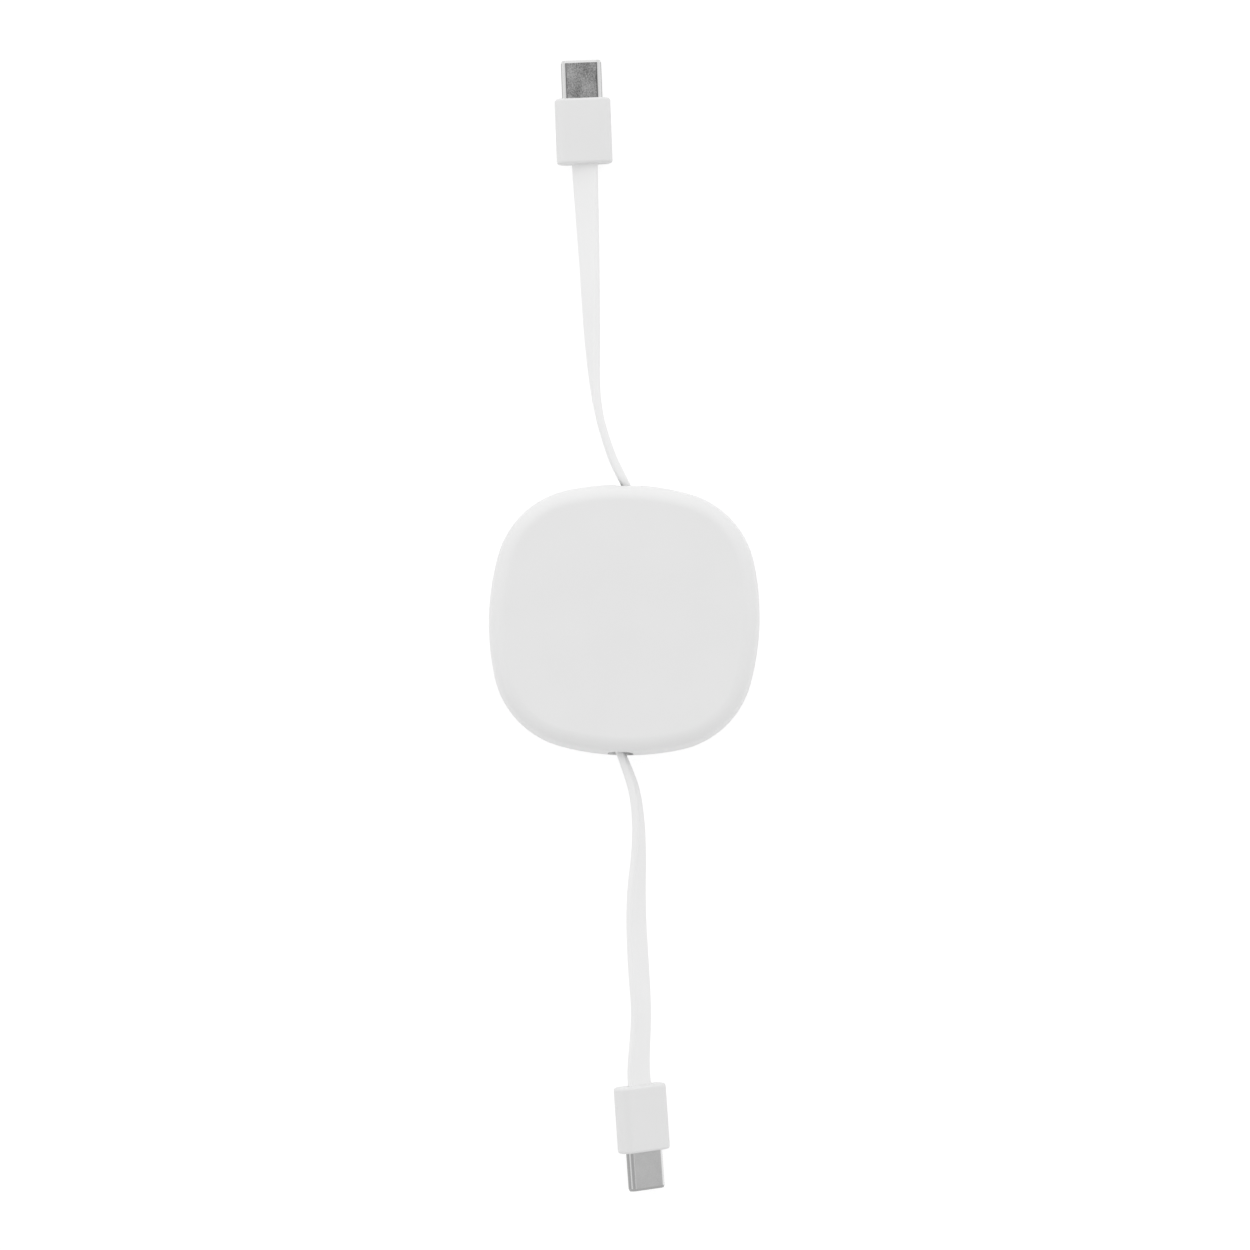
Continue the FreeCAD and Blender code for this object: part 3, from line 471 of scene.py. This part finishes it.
def box_ring(width, height, radius, level, steps=GRIP_STEPS):
    """Points round a rectangle with round corners, at a level along Z."""
    points = []
    across = width / 2 - radius
    along = height / 2 - radius
    corners = ((across, along), (-across, along), (-across, -along), (across, -along))
    for quarter, (x, y) in enumerate(corners):
        for angle in np.linspace(quarter * math.pi / 2, (quarter + 1) * math.pi / 2, steps):
            points.append((x + radius * math.cos(angle), y + radius * math.sin(angle), level))
    return points


def make_grip(plug):
    """Grip with soft ends, open at the front for the shell and hollow for the core."""
    rings = []
    gap = 2 * MOULD_GAP
    front = GRIP_LENGTH - GRIP_FRONT_WALL

    def outer(inset, level):
        rings.append(
            box_ring(GRIP_WIDTH - 2 * inset, GRIP_THICK - 2 * inset, GRIP_SIDE_RADIUS - inset, level)
        )

    for angle in np.linspace(0, math.pi / 2, GRIP_STEPS):
        inset = GRIP_EDGE_RADIUS * (1 - math.sin(angle))
        outer(inset, GRIP_EDGE_RADIUS * (1 - math.cos(angle)))
    for angle in np.linspace(math.pi / 2, 0, GRIP_STEPS):
        inset = GRIP_EDGE_RADIUS * (1 - math.sin(angle))
        outer(inset, GRIP_LENGTH - GRIP_EDGE_RADIUS * (1 - math.cos(angle)))
    opening = (SHELL_WIDTH + gap, SHELL_THICK + gap, FULL_ROUND * (SHELL_THICK + gap))
    core = (CORE_WIDTH + gap, CORE_THICK + gap, CORE_RADIUS + MOULD_GAP)
    rings.append(box_ring(*opening, GRIP_LENGTH))
    rings.append(box_ring(*opening, front))
    rings.append(box_ring(*core, front))
    rings.append(box_ring(*core, CORE_REAR))
    grip = loft(f"grip_{plug}", rings)
    grip.data.transform(plug_matrix(plug))
    soften(grip)
    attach(grip, f"plug_{plug}")
    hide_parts(f"plug_{plug}_grip")
    return grip


def make_shell(plug):
    """Drawn steel shell: a tube with round sides and a lip turned in at its tip."""
    low = GRIP_LENGTH - SHELL_ROOT
    tip = GRIP_LENGTH + SHELL_REACH
    stations = [(0.0, low)]
    for share in SHELL_LIP_SHARES:
        stations.append((SHELL_LIP_DEPTH * share, tip - SHELL_LIP_LENGTH * (1 - share)))
    stations += [(SHELL_LIP_DEPTH, tip), (SHELL_WALL, tip), (SHELL_WALL, low)]
    rings = []
    for inset, level in stations:
        thick = SHELL_THICK - 2 * inset
        rings.append(box_ring(SHELL_WIDTH - 2 * inset, thick, FULL_ROUND * thick, level, SHELL_STEPS))
    shell = loft(f"shell_{plug}", rings, joined=True)
    shell.data.transform(plug_matrix(plug))
    soften(shell)
    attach(shell, f"plug_{plug}")
    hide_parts(f"plug_{plug}_shell")
    return shell


class Shades:
    """A new material's node tree, with short ways to add and join nodes."""

    def __init__(self, name):
        self.material = bpy.data.materials.new(name)
        self.material.use_nodes = True
        self.tree = self.material.node_tree
        self.shader = self.tree.nodes["Principled BSDF"]

    def node(self, kind, **settings):
        """Add a node and set its properties."""
        made = self.tree.nodes.new(kind)
        for name, value in settings.items():
            setattr(made, name, value)
        return made

    def join(self, output, socket):
        """Join an output to an input."""
        self.tree.links.new(output, socket)

    def noise(self, scale, detail=2.0):
        """Noise in the piece's own space."""
        place = self.node("ShaderNodeTexCoord")
        made = self.node("ShaderNodeTexNoise")
        made.inputs["Scale"].default_value = scale
        made.inputs["Detail"].default_value = detail
        self.join(place.outputs["Object"], made.inputs["Vector"])
        return made.outputs["Fac"]

    def ramp(self, value, low, high, spread=0.2):
        """A value near a half turned into one of two levels or colours and what lies between."""
        made = self.node("ShaderNodeValToRGB")
        made.color_ramp.elements[0].color = colour(low)
        made.color_ramp.elements[1].color = colour(high)
        made.color_ramp.elements[0].position = 0.5 - spread
        made.color_ramp.elements[1].position = 0.5 + spread
        self.join(value, made.inputs["Fac"])
        return made.outputs["Color"]

    def bump(self, value, depth):
        """Relief of a depth in metres."""
        made = self.node("ShaderNodeBump")
        made.inputs["Strength"].default_value = 1.0
        made.inputs["Distance"].default_value = depth
        self.join(value, made.inputs["Height"])
        self.join(made.outputs["Normal"], self.shader.inputs["Normal"])

    def set(self, **levels):
        """Set the shader's own sockets, named with underscores for spaces."""
        for name, value in levels.items():
            self.shader.inputs[name.replace("_", " ")].default_value = value


def colour(level):
    """A grey level or three levels as a colour."""
    levels = level if isinstance(level, tuple) else (level, level, level)
    return (*levels, 1.0)


def moulded_plastic(name, level, rough, grain=7000.0, relief=0.004):
    """Moulded plastic: a fine spark-eroded grain, a slight clouding, and an uneven sheen."""
    shades = Shades(name)
    low = tuple(part * CLOUD_SHADE for part in level)
    shades.join(shades.ramp(shades.noise(CLOUD_SCALE), low, level), shades.shader.inputs["Base Color"])
    uneven = shades.noise(grain / SHEEN_COARSENESS)
    sheen = shades.ramp(uneven, rough - SHEEN_SPREAD, rough + SHEEN_SPREAD)
    shades.join(sheen, shades.shader.inputs["Roughness"])
    shades.bump(shades.noise(grain, detail=3.0), relief * MM)
    shades.set(IOR=PLASTIC_IOR)
    return shades.material


def blasted_steel_painted_reflections(name, plug, contrast, crease, side, lip):
    """Plated shell: clouded, blasted flats, with reflections painted into the colour by how each face
    turns: a dark crease along each flat, bright bent sides, dark outer edges and a lip.
    """
    turn = plug_matrix(plug).to_3x3()
    shades = Shades(name)
    place = shades.node("ShaderNodeTexCoord")
    facing = shades.node("ShaderNodeVectorMath", operation="DOT_PRODUCT")
    facing.inputs[1].default_value = turn @ Vector((0, 1, 0))
    shades.join(place.outputs["Normal"], facing.inputs[0])
    either = shades.node("ShaderNodeMath", operation="ABSOLUTE")
    shades.join(facing.outputs["Value"], either.inputs[0])
    # Painted reflection: the colour goes by how squarely a face looks along the plug's up axis, dark at the
    # outer edges, light on the bent sides and dark at the crease
    sides = shades.node("ShaderNodeValToRGB")
    stops = sides.color_ramp.elements
    stops[0].position = EDGE_END
    stops[0].color = colour(SHELL_EDGE_DARK_REFLECTION)
    stops[1].position = SIDE_START
    stops[1].color = colour(side)
    for position, level in ((SIDE_END, side), (CREASE_START, crease)):
        stops.new(position).color = colour(level)
    shades.join(either.outputs["Value"], sides.inputs["Fac"])
    flat = shades.node("ShaderNodeMapRange")
    flat.inputs["From Min"].default_value = FLAT_RANGE[0]
    flat.inputs["From Max"].default_value = FLAT_RANGE[1]
    shades.join(either.outputs["Value"], flat.inputs["Value"])
    grain = shades.noise(STEEL_GRAIN, detail=4.0)
    uneven = shades.node("ShaderNodeMix")
    uneven.inputs["Factor"].default_value = STEEL_CLOUD_SHARE
    shades.join(grain, uneven.inputs["A"])
    shades.join(shades.noise(STEEL_CLOUD, detail=1.0), uneven.inputs["B"])
    mixed = shades.node("ShaderNodeMix", data_type="RGBA")
    shades.join(flat.outputs["Result"], mixed.inputs["Factor"])
    shades.join(sides.outputs["Color"], mixed.inputs["A"])
    # Grain on the flats; its contrast is set per plug, so that it also paints their sparkle of reflected
    # light
    dark, light = FLAT_LEVEL - contrast, FLAT_LEVEL + contrast
    speckle = shades.ramp(uneven.outputs["Result"], dark, light, STEEL_GRAIN_SPREAD)
    shades.join(speckle, mixed.inputs["B"])
    ahead = shades.node("ShaderNodeVectorMath", operation="DOT_PRODUCT")
    ahead.inputs[1].default_value = turn @ Vector((0, 0, 1))
    shades.join(place.outputs["Normal"], ahead.inputs[0])
    turned_in = shades.node("ShaderNodeMapRange")
    turned_in.inputs["From Min"].default_value = LIP_RANGE[0]
    turned_in.inputs["From Max"].default_value = LIP_RANGE[1]
    shades.join(ahead.outputs["Value"], turned_in.inputs["Value"])
    # Painted reflection on the lip: faces that look forward take the lip's level
    tipped = shades.node("ShaderNodeMix", data_type="RGBA")
    tipped.inputs["B"].default_value = colour(lip)
    shades.join(turned_in.outputs["Result"], tipped.inputs["Factor"])
    shades.join(mixed.outputs["Result"], tipped.inputs["A"])
    shades.join(tipped.outputs["Result"], shades.shader.inputs["Base Color"])
    rough = shades.node("ShaderNodeMapRange")
    rough.inputs["To Min"].default_value = SIDE_ROUGHNESS
    rough.inputs["To Max"].default_value = FLAT_ROUGHNESS
    shades.join(flat.outputs["Result"], rough.inputs["Value"])
    shades.join(rough.outputs["Result"], shades.shader.inputs["Roughness"])
    shades.bump(grain, STEEL_RELIEF)
    shades.set(Metallic=1.0)
    return shades.material


def plain_metal(name, low, high, rough, grain):
    """Small metal pieces: a slight unevenness of colour and polish."""
    shades = Shades(name)
    value = shades.noise(grain, detail=3.0)
    shades.join(shades.ramp(value, low, high), shades.shader.inputs["Base Color"])
    polish = shades.ramp(value, rough * (1 - POLISH_SPREAD), rough * (1 + POLISH_SPREAD))
    shades.join(polish, shades.shader.inputs["Roughness"])
    shades.set(Metallic=1.0)
    return shades.material


def dress(item, material):
    """Give a piece one material."""
    item.data.materials.clear()
    item.data.materials.append(material)


def seen_directly(tree):
    """1 for rays of the camera and for those that metal or glass sends on, 0 for light on surfaces."""
    path = tree.nodes.new("ShaderNodeLightPath")
    level = path.outputs["Is Camera Ray"]
    for kind in ("Is Glossy Ray", "Is Transmission Ray"):
        larger = tree.nodes.new("ShaderNodeMath")
        larger.operation = "MAXIMUM"
        tree.links.new(level, larger.inputs[0])
        tree.links.new(path.outputs[kind], larger.inputs[1])
        level = larger.outputs[0]
    return level


def make_world():
    """Soft light, stronger from the north, and a white backdrop that is greyer overhead."""
    world = bpy.data.worlds.new("studio")
    bpy.context.scene.world = world
    world.use_nodes = True
    tree = world.node_tree
    tree.nodes.clear()
    place = tree.nodes.new("ShaderNodeTexCoord")
    lean = tree.nodes.new("ShaderNodeVectorMath")
    lean.operation = "DOT_PRODUCT"
    lean.inputs[1].default_value = LIGHT_LEAN
    tree.links.new(place.outputs["Generated"], lean.inputs[0])
    level = tree.nodes.new("ShaderNodeMath")
    level.operation = "ADD"
    level.inputs[1].default_value = LIGHT_LEVEL
    tree.links.new(lean.outputs["Value"], level.inputs[0])
    soft = tree.nodes.new("ShaderNodeBackground")
    soft.inputs["Color"].default_value = colour(1.0)
    tree.links.new(level.outputs[0], soft.inputs["Strength"])
    parts = tree.nodes.new("ShaderNodeSeparateXYZ")
    tree.links.new(place.outputs["Generated"], parts.inputs["Vector"])
    overhead = tree.nodes.new("ShaderNodeValToRGB")
    stops = overhead.color_ramp.elements
    stops[0].position = BACKDROP_WHITE
    stops[0].color = colour(1.0)
    stops[1].position = BACKDROP_GREY
    stops[1].color = colour(OVERHEAD_LEVEL)
    tree.links.new(parts.outputs["Z"], overhead.inputs["Fac"])
    backdrop = tree.nodes.new("ShaderNodeBackground")
    backdrop.inputs["Strength"].default_value = 1.0
    tree.links.new(overhead.outputs["Color"], backdrop.inputs["Color"])
    mixed = tree.nodes.new("ShaderNodeMixShader")
    tree.links.new(seen_directly(tree), mixed.inputs[0])
    tree.links.new(soft.outputs[0], mixed.inputs[1])
    tree.links.new(backdrop.outputs[0], mixed.inputs[2])
    output = tree.nodes.new("ShaderNodeOutputWorld")
    tree.links.new(mixed.outputs[0], output.inputs["Surface"])


def make_floor():
    """A white table that lights the object from below and keeps a faint shadow."""
    half = FLOOR_HALF
    mesh = bpy.data.meshes.new("floor")
    corners = [(-half, -half, 0), (half, -half, 0), (half, half, 0), (-half, half, 0)]
    mesh.from_pydata(corners, [], [(0, 1, 2, 3)])
    floor = new_object("floor", mesh)
    shades = Shades("floor_white")
    tree = shades.tree
    tree.nodes.remove(shades.shader)
    output = tree.nodes["Material Output"]
    bounce = shades.node("ShaderNodeBsdfDiffuse")
    bounce.inputs["Color"].default_value = colour(FLOOR_BOUNCE)
    shadow = shades.node("ShaderNodeBsdfDiffuse")
    shadow.inputs["Color"].default_value = colour(FLOOR_SHADOW)
    glow = shades.node("ShaderNodeEmission")
    glow.inputs["Color"].default_value = colour(1.0)
    glow.inputs["Strength"].default_value = FLOOR_GLOW
    both = shades.node("ShaderNodeAddShader")
    shades.join(shadow.outputs[0], both.inputs[0])
    shades.join(glow.outputs[0], both.inputs[1])
    mixed = shades.node("ShaderNodeMixShader")
    shades.join(seen_directly(tree), mixed.inputs[0])
    shades.join(bounce.outputs[0], mixed.inputs[1])
    shades.join(both.outputs[0], mixed.inputs[2])
    shades.join(mixed.outputs[0], output.inputs["Surface"])
    dress(floor, shades.material)


def make_light(name, place, size, power):
    """A square soft light that faces the case."""
    lamp = bpy.data.lights.new(name, "AREA")
    lamp.size = size
    lamp.energy = power
    item = new_object(name, lamp)
    item.location = place
    item.rotation_mode = "QUATERNION"
    item.rotation_quaternion = (-Vector(place)).to_track_quat("-Z", "Y")


def make_camera():
    """The photograph's camera: high above, tilted a little from the south."""
    camera = bpy.data.cameras.new("camera")
    camera.sensor_width = SENSOR_WIDTH
    camera.lens = SENSOR_WIDTH * CAMERA_DISTANCE / FRAME_WIDTH
    item = new_object("camera", camera)
    turn = Matrix.Rotation(CAMERA_ROLL, 3, "Z") @ Matrix.Rotation(CAMERA_TILT, 3, "X")
    item.location = Vector((*FRAME_CENTRE, SEAM)) + turn @ Vector((0, 0, CAMERA_DISTANCE))
    item.rotation_euler = turn.to_euler()
    bpy.context.scene.camera = item


bpy.context.scene.view_settings.view_transform = "Standard"

case_white = moulded_plastic("case_white", (0.850, 0.850, 0.850), rough=0.46)
soft_white = moulded_plastic("soft_white", (0.915, 0.915, 0.915), rough=0.52, grain=5200.0, relief=0.003)
grip_white = moulded_plastic("grip_white", (0.825, 0.825, 0.825), rough=0.48, grain=6400.0)
acetal = moulded_plastic("reel_acetal", (0.74, 0.74, 0.72), rough=0.40, grain=3000.0)
black_plastic = moulded_plastic("insulator_black", (0.022, 0.022, 0.024), rough=0.38, grain=6000.0)
core_plastic = moulded_plastic("core_plastic", (0.70, 0.70, 0.67), rough=0.50, grain=4000.0)
board_green = moulded_plastic("board_green", (0.035, 0.16, 0.07), rough=0.36, grain=5000.0)
gold = plain_metal("contact_gold", (0.74, 0.55, 0.22), (0.86, 0.67, 0.30), rough=0.24, grain=2400.0)
bright_steel = plain_metal("bright_steel", (0.52, 0.52, 0.53), (0.64, 0.64, 0.65), rough=0.26, grain=2000.0)
blued_steel = plain_metal("blued_steel", (0.24, 0.26, 0.32), (0.36, 0.37, 0.41), rough=0.34, grain=1400.0)
ball_steel = plain_metal("ball_steel", (0.62, 0.62, 0.64), (0.70, 0.70, 0.72), rough=0.12, grain=1800.0)
inner_looks = {
    "insulator": black_plastic,
    "contacts_upper": gold,
    "contacts_lower": gold,
    "latches": bright_steel,
    "ground_springs": bright_steel,
    "board": board_green,
    "inner_mould": core_plastic,
}

for half, node in ((make_cover(), "top_cover"), (make_base(), "base_shell")):
    soften(half, CASE_SMOOTH_ANGLE)
    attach(half, "case")
    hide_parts(node)
    dress(half, case_white)
dress(nodes["reel"], acetal)
dress(nodes["power_spring"], blued_steel)
dress(nodes["ratchet_ball"], ball_steel)
for plug in PLUGS:
    grip = make_grip(plug)
    shell = make_shell(plug)
    dress(grip, grip_white)
    # Each shell gets its own copy of the steel, with its reflections painted for how the plug lies
    dress(shell, blasted_steel_painted_reflections(f"shell_steel_painted_reflection_{plug}", plug, *SHELL_GRAIN_AND_PAINTED_REFLECTIONS[plug]))
    wound = make_wound_ribbon(plug)
    dress(wound, soft_white)
    dress(make_lead(plug), soft_white)
    for piece, material in inner_looks.items():
        dress(nodes[f"plug_{plug}_{piece}"], material)

make_world()
make_floor()
make_light("north_softbox", LAMP_PLACE, LAMP_SIZE, LAMP_POWER)
make_camera()
